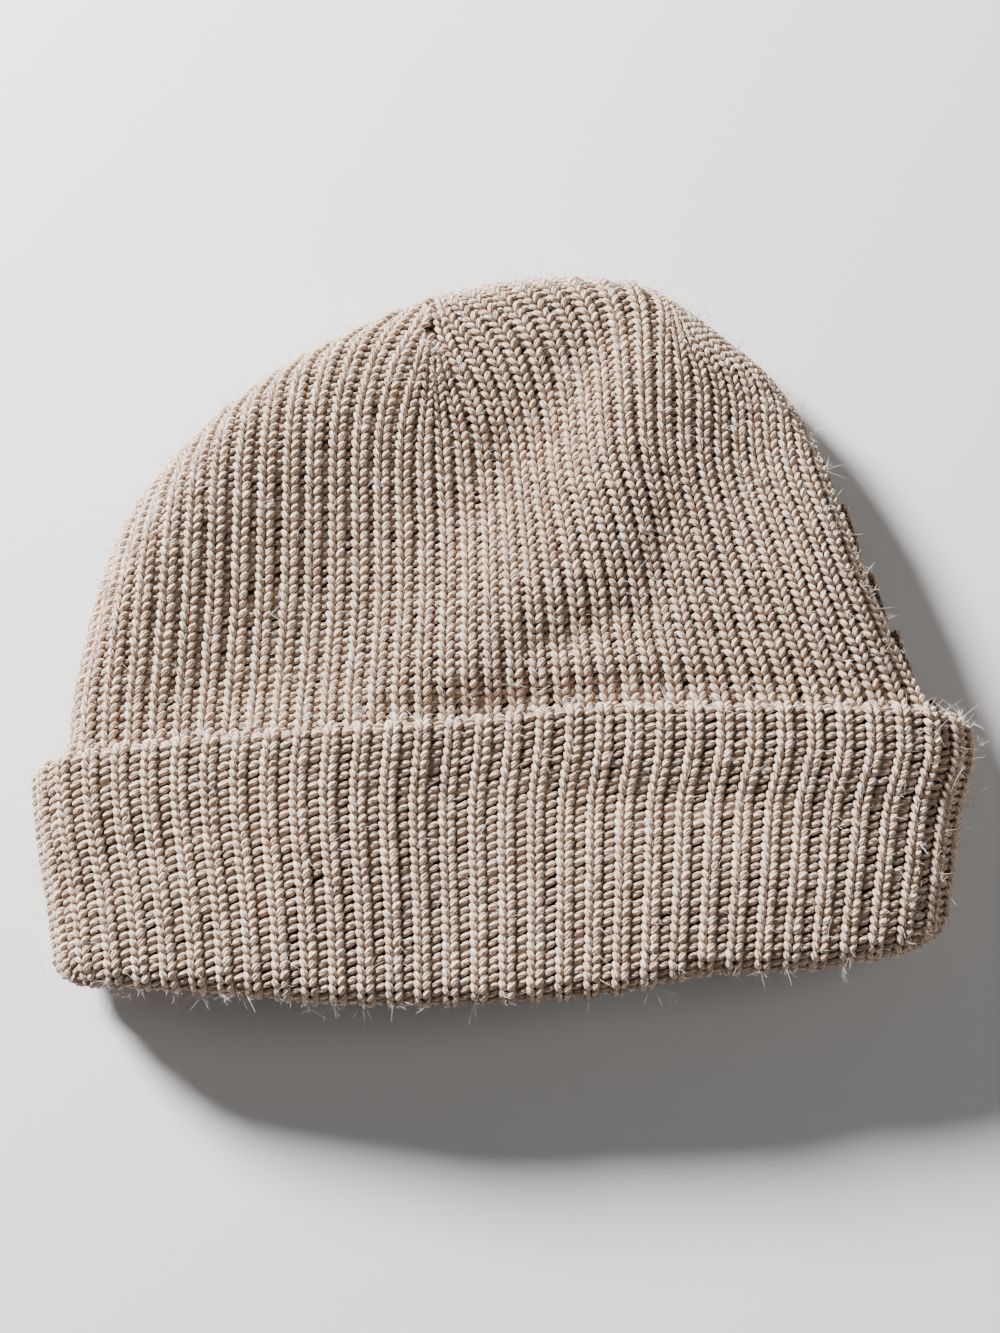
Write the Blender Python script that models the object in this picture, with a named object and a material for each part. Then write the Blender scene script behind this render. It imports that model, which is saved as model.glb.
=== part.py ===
"""A rib-knit beanie lying on its back wall, with its cuff turned up.

The hat is one doubled knit tube. It is drawn as two solids that meet with a small gap:
  crown   the body, from the closed top down to the mouth inside the cuff, hollow and open at the mouth
  cuff    the turned-up band: bottom roll, outer wall and rounded top edge, all the way round

Lengths below are in millimetres and MM turns them into metres. +X runs across the hat, +Y from the
mouth to the top of the crown, +Z up. The hat lies on the plane z = 0.

Every wall is an offset of one pair of height fields: a point (x, y) in plan, at a depth below the
outer skin, has one height on the upper wall and one on the lower wall.
"""

import math

import bpy
import numpy as np

MM = 0.001

# ---------------------------------------------------------------- driving dimensions, in millimetres
CROWN_WALL = 4.4          # doubled knit of the body
CUFF_WALL = 4.8           # doubled knit of the turned-up band, a little fuller
GAP = 0.45                # between the two solids
NEST = CUFF_WALL + GAP    # how far the body lies below the outer skin of the cuff
ROLL = (NEST + CROWN_WALL) / 2   # radius of the bottom fold, which wraps both walls
HOOK = 7.2                # how far the fold reaches up inside, to meet the end of the body
END_GAP = 0.5             # between the end of the body and the fold that meets it
LIP_SETBACK = 5.5         # the lower lip of the mouth lies this far behind the upper one

CUFF_EDGE_RADIUS = 13.5   # half the thickness of the cuff where it turns at its two sides
CUFF_DOME = 6.0           # how much the cuff swells in its middle
CROWN_EDGE_TOP = 20.6     # height of the body's rim above the cuff
CROWN_TIP_THIN = 2.2      # the rim is this much thinner at the top of the crown
CROWN_DOME = 6.8          # how much the body swells in its middle
CROWN_REACH = 26.0        # distance from the outline over which the body swells
DOME_REACH = 58.0         # and over which the cuff does
LEAST_HOLLOW = 4.0        # the upper wall never sags nearer than this to the lower one

LIFT_OFF = (-26.0, -7.0)  # the body's underside comes down from the cuff to the floor between these y
TIP = (20.0, 94.2)        # x and y of the top of the crown
CENTRE = (1.1, -3.13)     # middle of the finished hat in the tables' x and y

# The free outline of the body seen from above, a row per section.
#                 y,    left,  right
CROWN_OUTLINE = ((-30, -108.7, 112.6),
                 (-20, -108.4, 108.6),
                 (-10, -107.2, 104.4),
                 (0,   -105.5, 100.7),
                 (11,  -102.7,  96.6),
                 (22,   -98.9,  93.1),
                 (33,   -93.1,  89.0),
                 (44,   -84.7,  84.6),
                 (55,   -74.8,  78.5),
                 (66,   -61.5,  71.0),
                 (75,   -47.0,  61.5),
                 (83,   -31.5,  52.0),
                 (89,   -16.6,  43.6),
                 (93,     1.0,  35.5),
                 (TIP[1], TIP[0], TIP[0]))

# The two side edges of the cuff seen from above, a row per section.
#               y,    left,  right
CUFF_SIDES = ((-98, -108.8, 108.4),
              (-92, -109.5, 109.2),
              (-80, -111.2, 110.8),
              (-70, -113.1, 112.4),
              (-60, -115.1, 114.0),
              (-50, -116.6, 115.8),
              (-42, -117.3, 118.4),
              (-36, -117.0, 119.4),
              (-30, -116.2, 119.2),
              (-25, -115.4, 118.6))

# The top edge and the bottom fold of the cuff, a row per place across it.
#               x,   bottom,   top
CUFF_EDGES = ((-118, -95.2, -41.5),
              (-106, -95.2, -39.0),
              (-88,  -96.0, -36.8),
              (-62,  -98.0, -34.6),
              (-42,  -100.0, -33.3),
              (-20,  -100.6, -32.0),
              (-5,   -100.0, -30.6),
              (10,   -99.1, -29.0),
              (25,   -98.0, -27.7),
              (36,   -96.2, -27.4),
              (50,   -93.0, -27.3),
              (65,   -92.4, -27.2),
              (80,   -91.0, -27.2),
              (95,   -88.0, -27.3),
              (108,  -84.4, -27.8),
              (119,  -81.0, -29.5))

# Folds and dents of the upper wall of the body: a long bump each, turned from +X, rise below 0 is a dent.
#               name,            x,    y, along, across, turn, rise
CROWN_FOLDS = (("left_valley",  -40,    8,   72,   27,    50, -7.2),
               ("left_rim",     -84,   20,   50,    9,    64,  1.6),
               ("dart_ridge",   -22,   63,   17,    6,    94,  1.5),
               ("dart_pit",       2,   38,   34,   12,    56, -4.0),
               ("top_pit",       24,   70,   14,    8,    52, -2.0),
               ("middle_crest",  30,   42,   28,   10,    84,  3.0),
               ("low_crest",      8,    3,   22,    9,    42,  1.8),
               ("right_crease",  42,   12,   18,    7,    78, -2.0),
               ("hook",          22,   -7,   20,    6,    24, -2.4),
               ("right_pocket",  64,   40,   26,   15,    98, -5.0),
               ("right_swell",   84,    4,   34,   16,   -30,  1.6),
               ("shelf",         26,  -16,   40,    4.5,   4,  1.4),
               ("tuck",          -4,  -26,   34,    5.5,   5, -3.4))

# Folds and dents of the upper wall of the cuff.
CUFF_FOLDS = (("middle_dip",   -12,  -60,   36,   12,    86, -2.4),
              ("wide_dip",       8,  -60,   36,   18,    86, -1.8),
              ("left_swell",   -47,  -62,   34,   10,    84,  1.0),
              ("left_dip",     -92,  -66,   22,    8,    16, -1.4),
              ("right_groove",  48,  -52,   40,    7,    -4, -2.0),
              ("right_swell",   55,  -74,   42,   10,     2,  1.2),
              ("end_dip",      102,  -58,   20,    8,    80, -1.4))

# Where the top edge of the cuff stands off the body: a row per place across it.
#              x,  lift
CUFF_LIFT = ((-118, 0.0), (-70, 0.2), (-35, 1.0), (5, 1.4), (45, 0.8), (80, 0.2), (119, 0.0))

# Mesh density: points across the flat of a wall, points round a side edge, and rows
CROSS_POINTS = 17
EDGE_ANGLES = (0.0, 24.0, 48.0, 70.0, 90.0)
BODY_ROWS = 27
MOUTH = -88.0             # nominal y of the body's first ring

# name: base colour, roughness
FINISH = {"crown": ((0.42, 0.34, 0.28, 1.0), 0.95), "cuff": ((0.44, 0.36, 0.30, 1.0), 0.95)}


# ---------------------------------------------------------------- small tools
def smoothstep(low, high, value):
    t = np.clip((np.asarray(value, float) - low) / (high - low), 0.0, 1.0)
    return t * t * (3.0 - 2.0 * t)


def curve(knots, values, at):
    """A smooth curve through the rows of a table that never swings past them."""
    x, y, at = np.asarray(knots, float), np.asarray(values, float), np.asarray(at, float)
    step = np.diff(x)
    slope = np.diff(y) / step
    tangent = np.zeros_like(y)
    tangent[0], tangent[-1] = slope[0], slope[-1]
    same = slope[:-1] * slope[1:] > 0
    w0, w1 = 2 * step[1:] + step[:-1], step[1:] + 2 * step[:-1]
    safe = np.where(same, slope[:-1] * slope[1:], 1.0)
    mean = (w0 + w1) * safe / np.where(same, w0 * slope[1:] + w1 * slope[:-1], 1.0)
    tangent[1:-1] = np.where(same, mean, 0.0)
    i = np.clip(np.searchsorted(x, at) - 1, 0, len(x) - 2)
    t = (np.clip(at, x[0], x[-1]) - x[i]) / step[i]
    return ((1 + 2 * t) * (1 - t) ** 2 * y[i] + t * (1 - t) ** 2 * step[i] * tangent[i]
            + t * t * (3 - 2 * t) * y[i + 1] + t * t * (t - 1) * step[i] * tangent[i + 1])


def column(table, index):
    return [row[index] for row in table]


def from_tip(y):
    """Distance from the tip, as its root, in which a rounded outline is straight."""
    return -np.sqrt(np.maximum(TIP[1] - np.asarray(y, float), 0.0))


def folds(table, x, y):
    total = np.zeros(np.broadcast(x, y).shape)
    for _, fx, fy, along, across, turn, rise in table:
        c, s = math.cos(math.radians(turn)), math.sin(math.radians(turn))
        a, b = (x - fx) * c + (y - fy) * s, (y - fy) * c - (x - fx) * s
        total += rise * np.exp(-((a / along) ** 2) - (b / across) ** 2)
    return total


# ---------------------------------------------------------------- outlines in plan
def cuff_bottom(x):
    return curve(column(CUFF_EDGES, 0), column(CUFF_EDGES, 1), x)


def cuff_top(x):
    return curve(column(CUFF_EDGES, 0), column(CUFF_EDGES, 2), x)


def cuff_side(y, right):
    return curve(column(CUFF_SIDES, 0), column(CUFF_SIDES, 2 if right else 1), y)


def crown_side(y, right):
    """The outline of the body: inside the cuff's walls below its top edge, its own above."""
    free = curve(from_tip(column(CROWN_OUTLINE, 0)), column(CROWN_OUTLINE, 2 if right else 1), from_tip(y))
    inside = cuff_side(y, right) + (-NEST if right else NEST)
    edge = cuff_top(119.0 if right else -118.0)
    out = smoothstep(edge - 1.0, edge + 10.0, y)
    return inside * (1 - out) + free * out


def outline_points():
    """The body's outline as a fine line of points, up the left side and down the right."""
    steps = from_tip(-130.0) * (1 - np.linspace(0.0, 1.0, 420))
    y = TIP[1] - steps**2
    left = np.column_stack((crown_side(y, False), y))
    right = np.column_stack((crown_side(y, True), y))[::-1]
    return np.concatenate((left, right[1:]))


OUTLINE = outline_points()


def rim_distance(x, y):
    """How far inside the body's outline a point lies, negative outside it."""
    x, y = np.broadcast_arrays(np.asarray(x, float), np.asarray(y, float))
    a, b = OUTLINE[:-1], OUTLINE[1:]
    run = b - a
    length = np.maximum((run**2).sum(1), 1e-12)
    point = np.stack((x.ravel(), y.ravel()), 1)
    t = np.clip(((point[:, None] - a) * run).sum(2) / length, 0, 1)
    near = np.sqrt(((point[:, None] - a - t[..., None] * run) ** 2).sum(2).min(1)).reshape(x.shape)
    inside = (x > crown_side(y, False)) & (x < crown_side(y, True)) & (y < TIP[1])
    return np.where(inside, near, -near)


# ---------------------------------------------------------------- heights
def round_edge(distance, depth, radius):
    """Height of a wall over its middle level, at this distance inside its outline."""
    left = np.maximum(radius - depth, 0.01)
    t = np.clip((distance - depth) / left, 0.0, 1.0)
    return left * np.sqrt(np.maximum(1.0 - (1.0 - t) ** 2, 0.0))


def swell(distance, reach=DOME_REACH):
    t = np.clip(distance / reach, 0.0, 1.0)
    return 1.0 - (1.0 - t) ** 2


def cuff_heights(x, y, depth):
    """Upper and lower height of the cuff's ring at a depth below its outer skin."""
    side = np.minimum(x - cuff_side(y, False), cuff_side(y, True) - x)
    edge = round_edge(side, depth, CUFF_EDGE_RADIUS)
    relief = CUFF_DOME * swell(side) + folds(CUFF_FOLDS, x, y) * smoothstep(0, 16, side)
    return CUFF_EDGE_RADIUS + edge + relief, CUFF_EDGE_RADIUS - edge


def cuff_lift(x, y):
    reach = smoothstep(cuff_top(x) - 20.0, cuff_top(x), y)
    return curve(column(CUFF_LIFT, 0), column(CUFF_LIFT, 1), x) * reach


def crown_heights(x, y, depth):
    """Upper and lower height of the body at a depth below its outer skin."""
    near = rim_distance(x, y)
    floor = NEST * (1 - smoothstep(LIFT_OFF[0], LIFT_OFF[1], y))
    free = smoothstep(cuff_top(x) - 2.0, cuff_top(x) + 16.0, y)
    held = 2 * CUFF_EDGE_RADIUS - NEST
    rim = held * (1 - free) + (CROWN_EDGE_TOP - CROWN_TIP_THIN * smoothstep(0, TIP[1], y)) * free
    radius, level = (rim - floor) / 2, (rim + floor) / 2
    edge = round_edge(near, depth, radius)
    inside = CUFF_DOME * swell(near + NEST) + folds(CUFF_FOLDS, x, y) * smoothstep(0, 16, near + NEST)
    outside = CROWN_DOME * swell(near, CROWN_REACH) + folds(CROWN_FOLDS, x, y) * smoothstep(1, 13, near)
    relief = inside * (1 - free) + outside * free
    tuck = folds(CROWN_FOLDS[-1:], x, y) * smoothstep(1, 15, near) * (1 - free)
    upper = level + edge + (relief + tuck) * smoothstep(-0.5, 3.0, near)
    lower = level - edge
    open_by = (LEAST_HOLLOW + 2 * (CROWN_WALL - depth)) * smoothstep(depth, depth + 6.0, near)
    return np.maximum(upper, lower + open_by), lower


# ---------------------------------------------------------------- rings round the hat
EDGE_TURN = np.cos(np.radians(EDGE_ANGLES))
# How far each point of a wall leans from the upper lip (0) to the lower lip (1) of the mouth
UPPER_LEAN = np.concatenate((0.5 * EDGE_TURN[:-1], np.zeros(CROSS_POINTS), 0.5 * EDGE_TURN[-2::-1]))


def spread(left, right, edge):
    """x of the points of one wall from its left edge to its right one, close together round the edges."""
    edge = min(edge, 0.3 * (right - left))
    middle = np.linspace(left + edge, right - edge, CROSS_POINTS)
    turn = edge * (1 - EDGE_TURN)
    return np.concatenate((left + turn[:-1], middle, right - turn[-2::-1]))


def joined(upper, lower):
    """One closed ring from an upper and a lower wall, which share their two side points."""
    for end in (0, -1):
        upper[end] = (upper[end] + lower[end]) / 2
    return np.concatenate((upper, lower[-2:0:-1]))


def body_radius(y):
    """Half the thickness of the body at its side edges."""
    free = CROWN_EDGE_TOP - CROWN_TIP_THIN * smoothstep(0, TIP[1], y)
    held = 2 * (CUFF_EDGE_RADIUS - NEST)
    return float(held + (free - held) * smoothstep(-38.0, -12.0, y)) / 2


def body_span(y, depth):
    """Left and right x at which the body's outline is this deep, found by halving."""
    bounds = []
    middle = float(crown_side(y, False) + crown_side(y, True)) / 2
    for right in (False, True):
        low, high = float(crown_side(y, right)), middle
        for _ in range(24 if depth > 0 else 0):
            mid = (low + high) / 2
            low, high = (mid, high) if rim_distance(mid, y) < depth else (low, mid)
        bounds.append(low)
    return bounds


def body_rows():
    """Nominal y of each ring, closest together at the tip."""
    straight = np.linspace(MOUTH, -6.0, 13)
    root = np.linspace(math.sqrt(TIP[1] + 6.0), 0.0, BODY_ROWS - 12)[1:-1]
    return np.concatenate((straight, TIP[1] - root**2))


def body_wall(nominal, depth, lower):
    """x and y of one wall's points in a ring. Rings run along the bottom fold at the mouth and straight higher up."""
    bend = 1 - smoothstep(MOUTH, 0.0, nominal)
    if bend == 0:
        x = spread(*body_span(nominal, depth), body_radius(nominal) - depth)
        return x, np.full_like(x, nominal)
    lean = 1 - UPPER_LEAN if lower else UPPER_LEAN
    x = spread(-105.0, 105.0, 8.0)
    for _ in range(4):
        mouth = cuff_bottom(x) + HOOK + END_GAP + LIP_SETBACK * lean
        y = nominal + (mouth - MOUTH) * bend
        x = spread(float(crown_side(y[0], False)) + depth, float(crown_side(y[-1], True)) - depth,
                   body_radius(nominal) - depth)
    return x, y


def body_skin(depth):
    """Rings of points of one skin of the body, and the point that closes it at the tip."""
    end = TIP[1] - depth
    rings = []
    for nominal in body_rows():
        nominal = MOUTH + (nominal - MOUTH) * (end - MOUTH) / (TIP[1] - MOUTH)
        walls = []
        for lower in (False, True):
            x, y = body_wall(nominal, depth, lower)
            walls.append(np.column_stack((x, y, crown_heights(x, y, depth)[lower])))
        rings.append(joined(*walls))
    upper, lower = crown_heights(np.array([TIP[0]]), np.array([end - 0.001]), depth)
    return np.array(rings), np.array([TIP[0], end, (upper[0] + lower[0]) / 2])


def cuff_profile():
    """The closed section of the cuff: depth below the outer skin, which edge y is measured from, and y."""
    half = CUFF_WALL / 2
    rows = [(0.0, 1 - t, ROLL * t - half * (1 - t)) for t in np.linspace(0, 1, 7)]
    for a in np.radians(np.linspace(0, 180, 8)[1:]):
        rows.append((ROLL - ROLL * math.cos(a), 0.0, ROLL - ROLL * math.sin(a)))
    rows.append((2 * ROLL, 0.0, HOOK))
    rows += [(CUFF_WALL, t, HOOK * (1 - t) - half * t) for t in np.linspace(0, 1, 6)]
    for a in np.radians(np.linspace(0, 180, 5)[1:-1]):
        rows.append((half + half * math.cos(a), 1.0, half * math.sin(a) - half))
    return rows


def cuff_rings():
    """One ring of points for each row of the cuff's section."""
    rings = []
    for depth, at_top, offset in cuff_profile():
        walls = []
        for lower in (False, True):
            lean = 1 - UPPER_LEAN if lower else UPPER_LEAN
            x = spread(-112.0, 113.0, CUFF_EDGE_RADIUS)
            for _ in range(4):
                bottom = cuff_bottom(x) + LIP_SETBACK * lean
                y = bottom * (1 - at_top) + cuff_top(x) * at_top + offset
                x = spread(float(cuff_side(y[0], False)) + depth, float(cuff_side(y[-1], True)) - depth,
                           CUFF_EDGE_RADIUS - depth)
            upper_z, lower_z = cuff_heights(x, y, depth)
            walls.append(np.column_stack((x, y, lower_z if lower else upper_z + cuff_lift(x, y))))
        rings.append(joined(*walls))
    return np.array(rings)


# ---------------------------------------------------------------- meshes
def bridge(first, second, count):
    """Quads between two rings whose points start at these indices."""
    return [(first + i, first + (i + 1) % count, second + (i + 1) % count, second + i) for i in range(count)]


def make_object(name, points, faces):
    points = (np.asarray(points) - (CENTRE[0], CENTRE[1], 0.0)) * MM
    points[:, 2] = np.maximum(points[:, 2], 0.0)
    mesh = bpy.data.meshes.new(name)
    mesh.from_pydata([tuple(p) for p in points], [], faces)
    mesh.validate()
    mesh.shade_smooth()
    mesh.set_sharp_from_angle(angle=math.radians(50))
    colour, roughness = FINISH[name]
    material = bpy.data.materials.new(name)
    material.use_nodes = True
    shader = material.node_tree.nodes["Principled BSDF"]
    shader.inputs["Base Color"].default_value = colour
    shader.inputs["Roughness"].default_value = roughness
    shader.inputs["Metallic"].default_value = 0.0
    mesh.materials.append(material)
    obj = bpy.data.objects.new(name, mesh)
    bpy.context.scene.collection.objects.link(obj)
    return obj


def make_crown():
    outer, outer_tip = body_skin(0.0)
    inner, inner_tip = body_skin(CROWN_WALL)
    # The end of the body is square across the wall.
    inner[0][:, 1] = outer[0][:, 1]
    rows, count = outer.shape[:2]
    points = np.concatenate((outer.reshape(-1, 3), inner.reshape(-1, 3), outer_tip[None], inner_tip[None]))
    second = rows * count
    tips = (2 * second, 2 * second + 1)
    faces = []
    for row in range(rows - 1):
        faces += bridge(row * count, (row + 1) * count, count)
        faces += [face[::-1] for face in bridge(second + row * count, second + (row + 1) * count, count)]
    faces += [face[::-1] for face in bridge(0, second, count)]
    last = (rows - 1) * count
    for i in range(count):
        j = (i + 1) % count
        faces.append((last + i, last + j, tips[0]))
        faces.append((second + last + j, second + last + i, tips[1]))
    return make_object("crown", points, faces)


def make_cuff():
    rings = cuff_rings()
    rows, count = rings.shape[:2]
    faces = []
    for row in range(rows):
        faces += bridge(((row + 1) % rows) * count, row * count, count)
    return make_object("cuff", rings.reshape(-1, 3), faces)


def main():
    for obj in list(bpy.data.objects):
        bpy.data.objects.remove(obj, do_unlink=True)
    make_crown()
    make_cuff()


main()
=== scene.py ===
"""Looks of the rib-knit beanie: every stitch of its outside as yarn, over a knitted ground.

Lengths in the tables are millimetres in the same plan coordinates as the construction; CENTRE is the
middle of the hat in them. A rib is a column of knit stitches, a furrow is the purl column between two.
"""

import math

import bpy
import numpy as np
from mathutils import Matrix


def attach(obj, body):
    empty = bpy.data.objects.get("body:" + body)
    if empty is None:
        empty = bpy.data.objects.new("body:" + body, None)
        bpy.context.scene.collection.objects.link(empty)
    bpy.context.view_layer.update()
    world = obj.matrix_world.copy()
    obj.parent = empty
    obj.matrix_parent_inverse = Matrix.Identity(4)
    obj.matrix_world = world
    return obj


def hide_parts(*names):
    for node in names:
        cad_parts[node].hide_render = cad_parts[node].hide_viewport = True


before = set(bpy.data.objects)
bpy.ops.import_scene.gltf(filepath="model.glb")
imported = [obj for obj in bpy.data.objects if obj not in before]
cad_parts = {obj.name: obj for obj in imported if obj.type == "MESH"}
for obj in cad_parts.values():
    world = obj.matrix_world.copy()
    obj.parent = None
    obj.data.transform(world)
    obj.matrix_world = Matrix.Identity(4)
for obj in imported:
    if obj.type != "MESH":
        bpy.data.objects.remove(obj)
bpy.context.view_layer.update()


MM = 0.001
rng = np.random.default_rng(20240817)

# ---------------------------------------------------------------- the hat's shape, as constructed
CROWN_WALL, CUFF_WALL, GAP = 4.4, 4.8, 0.45
NEST = CUFF_WALL + GAP
ROLL = (NEST + CROWN_WALL) / 2
HOOK, END_GAP, LIP_SETBACK = 7.2, 0.5, 5.5
CUFF_EDGE_RADIUS, CUFF_DOME = 13.5, 6.0
CROWN_EDGE_TOP, CROWN_TIP_THIN, CROWN_DOME, CROWN_REACH, DOME_REACH = 20.6, 2.2, 6.8, 26.0, 58.0
LEAST_HOLLOW = 4.0
LIFT_OFF = (-26.0, -7.0)
TIP = (20.0, 94.2)
CENTRE = (1.1, -3.13)

#                 y,    left,  right
CROWN_OUTLINE = ((-30, -108.7, 112.6),
                 (-20, -108.4, 108.6),
                 (-10, -107.2, 104.4),
                 (0,   -105.5, 100.7),
                 (11,  -102.7,  96.6),
                 (22,   -98.9,  93.1),
                 (33,   -93.1,  89.0),
                 (44,   -84.7,  84.6),
                 (55,   -74.8,  78.5),
                 (66,   -61.5,  71.0),
                 (75,   -47.0,  61.5),
                 (83,   -31.5,  52.0),
                 (89,   -16.6,  43.6),
                 (93,     1.0,  35.5),
                 (TIP[1], TIP[0], TIP[0]))
#               y,    left,  right
CUFF_SIDES = ((-98, -108.8, 108.4),
              (-92, -109.5, 109.2),
              (-80, -111.2, 110.8),
              (-70, -113.1, 112.4),
              (-60, -115.1, 114.0),
              (-50, -116.6, 115.8),
              (-42, -117.3, 118.4),
              (-36, -117.0, 119.4),
              (-30, -116.2, 119.2),
              (-25, -115.4, 118.6))
#               x,   bottom,   top
CUFF_EDGES = ((-118, -95.2, -41.5),
              (-106, -95.2, -39.0),
              (-88,  -96.0, -36.8),
              (-62,  -98.0, -34.6),
              (-42,  -100.0, -33.3),
              (-20,  -100.6, -32.0),
              (-5,   -100.0, -30.6),
              (10,   -99.1, -29.0),
              (25,   -98.0, -27.7),
              (36,   -96.2, -27.4),
              (50,   -93.0, -27.3),
              (65,   -92.4, -27.2),
              (80,   -91.0, -27.2),
              (95,   -88.0, -27.3),
              (108,  -84.4, -27.8),
              (119,  -81.0, -29.5))
#               name,            x,    y, along, across, turn, rise
CROWN_FOLDS = (("left_valley",  -40,    8,   72,   27,    50, -7.2),
               ("left_rim",     -84,   20,   50,    9,    64,  1.6),
               ("dart_ridge",   -22,   63,   17,    6,    94,  1.5),
               ("dart_pit",       2,   38,   34,   12,    56, -4.0),
               ("top_pit",       24,   70,   14,    8,    52, -2.0),
               ("middle_crest",  30,   42,   28,   10,    84,  3.0),
               ("low_crest",      8,    3,   22,    9,    42,  1.8),
               ("right_crease",  42,   12,   18,    7,    78, -2.0),
               ("hook",          22,   -7,   20,    6,    24, -2.4),
               ("right_pocket",  64,   40,   26,   15,    98, -5.0),
               ("right_swell",   84,    4,   34,   16,   -30,  1.6),
               ("shelf",         26,  -16,   40,    4.5,   4,  1.4),
               ("tuck",          -4,  -26,   34,    5.5,   5, -3.4))
CUFF_FOLDS = (("middle_dip",   -12,  -60,   36,   12,    86, -2.4),
              ("wide_dip",       8,  -60,   36,   18,    86, -1.8),
              ("left_swell",   -47,  -62,   34,   10,    84,  1.0),
              ("left_dip",     -92,  -66,   22,    8,    16, -1.4),
              ("right_groove",  48,  -52,   40,    7,    -4, -2.0),
              ("right_swell",   55,  -74,   42,   10,     2,  1.2),
              ("end_dip",      102,  -58,   20,    8,    80, -1.4))
#              x,  lift
CUFF_LIFT = ((-118, 0.0), (-70, 0.2), (-35, 1.0), (5, 1.4), (45, 0.8), (80, 0.2), (119, 0.0))

DISTANCE, ELEVATION = 0.60, math.radians(76)      # of the camera

# ---------------------------------------------------------------- the knitting
CROWN_RIB = 6.05          # rib to rib on the body, at the cuff
CROWN_ROW = 2.36          # row to row on the body
CUFF_RIBS = 68            # ribs round the cuff
CUFF_ROW = 2.17           # row to row on the cuff
DART_X, DART_FOOT, DART_HEAD = -17.3, 51.0, 90.0      # the left dart runs straight up
DART2_FOOT, DART2_LEAN = (49.0, 62.0), -0.55          # the right one leans to the left, mm across for each up

# How the ribs lean from straight up the hat, in degrees to the right, at places on the body.
LEAN_X = (-106, -92, -75, -55, -35, -22, -12, 0, 15, 30, 44, 54, 66, 80, 95, 108)
#             y:  lean at each x
LEAN = ((-28, (1, 0, 0, 1, 1, 0, -1, -2, -4, -6, -9, -11, -13, -15, -20, -22)),
        (-8,  (4, 1, 0, 1, 1, 0, -1, -2, -4, -5, -8, -12, -14, -16, -20, -23)),
        (12,  (9, 4, 1, 1, 0, 0, -1, -2, -6, -9, -9, -10, -12, -14, -18, -20)),
        (32,  (14, 9, 3, 1, 0, -1, -2, -3, -8, -10, -7, -6, -7, -10, -16, -18)),
        (44,  (17, 14, 6, 2, 2, 3, -5, -7, -6, -6, -4, -2, -4, -8, -14, -16)),
        (52,  (18, 16, 9, 4, 7, 11, -15, -13, -8, -5, -3, -1, -5, -9, -14, -16)),
        (62,  (22, 20, 16, 8, 14, 16, -24, -20, -10, -5, -1, -12, -22, -24, -20, -20)),
        (70,  (26, 24, 22, 16, 22, 28, -30, -24, -14, -7, 0, -44, -46, -42, -30, -30)),
        (80,  (30, 30, 30, 26, 32, 36, -40, -36, -26, -12, 0, -52, -54, -50, -40, -40)),
        (92,  (34, 34, 34, 32, 38, 40, -54, -52, -42, -28, -10, -56, -58, -50, -40, -40)))


def smoothstep(low, high, value):
    t = np.clip((np.asarray(value, float) - low) / (high - low), 0.0, 1.0)
    return t * t * (3.0 - 2.0 * t)


def curve(knots, values, at):
    x, y, at = np.asarray(knots, float), np.asarray(values, float), np.asarray(at, float)
    step = np.diff(x)
    slope = np.diff(y) / step
    tangent = np.zeros_like(y)
    tangent[0], tangent[-1] = slope[0], slope[-1]
    same = slope[:-1] * slope[1:] > 0
    w0, w1 = 2 * step[1:] + step[:-1], step[1:] + 2 * step[:-1]
    safe = np.where(same, slope[:-1] * slope[1:], 1.0)
    mean = (w0 + w1) * safe / np.where(same, w0 * slope[1:] + w1 * slope[:-1], 1.0)
    tangent[1:-1] = np.where(same, mean, 0.0)
    i = np.clip(np.searchsorted(x, at) - 1, 0, len(x) - 2)
    t = (np.clip(at, x[0], x[-1]) - x[i]) / step[i]
    return ((1 + 2 * t) * (1 - t) ** 2 * y[i] + t * (1 - t) ** 2 * step[i] * tangent[i]
            + t * t * (3 - 2 * t) * y[i + 1] + t * t * (t - 1) * step[i] * tangent[i + 1])


def column(table, index):
    return [row[index] for row in table]


def from_tip(y):
    return -np.sqrt(np.maximum(TIP[1] - np.asarray(y, float), 0.0))


def folds(table, x, y):
    total = np.zeros(np.broadcast(x, y).shape)
    for _, fx, fy, along, across, turn, rise in table:
        c, s = math.cos(math.radians(turn)), math.sin(math.radians(turn))
        a, b = (x - fx) * c + (y - fy) * s, (y - fy) * c - (x - fx) * s
        total += rise * np.exp(-((a / along) ** 2) - (b / across) ** 2)
    return total


def cuff_bottom(x):
    return curve(column(CUFF_EDGES, 0), column(CUFF_EDGES, 1), x)


def cuff_top(x):
    return curve(column(CUFF_EDGES, 0), column(CUFF_EDGES, 2), x)


def cuff_side(y, right):
    return curve(column(CUFF_SIDES, 0), column(CUFF_SIDES, 2 if right else 1), y)


def crown_side(y, right):
    free = curve(from_tip(column(CROWN_OUTLINE, 0)), column(CROWN_OUTLINE, 2 if right else 1), from_tip(y))
    inside = cuff_side(y, right) + (-NEST if right else NEST)
    edge = cuff_top(119.0 if right else -118.0)
    out = smoothstep(edge - 1.0, edge + 10.0, y)
    return inside * (1 - out) + free * out


def outline_points():
    steps = from_tip(-130.0) * (1 - np.linspace(0.0, 1.0, 300))
    y = TIP[1] - steps**2
    left = np.column_stack((crown_side(y, False), y))
    right = np.column_stack((crown_side(y, True), y))[::-1]
    return np.concatenate((left, right[1:]))


OUTLINE = outline_points()


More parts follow.
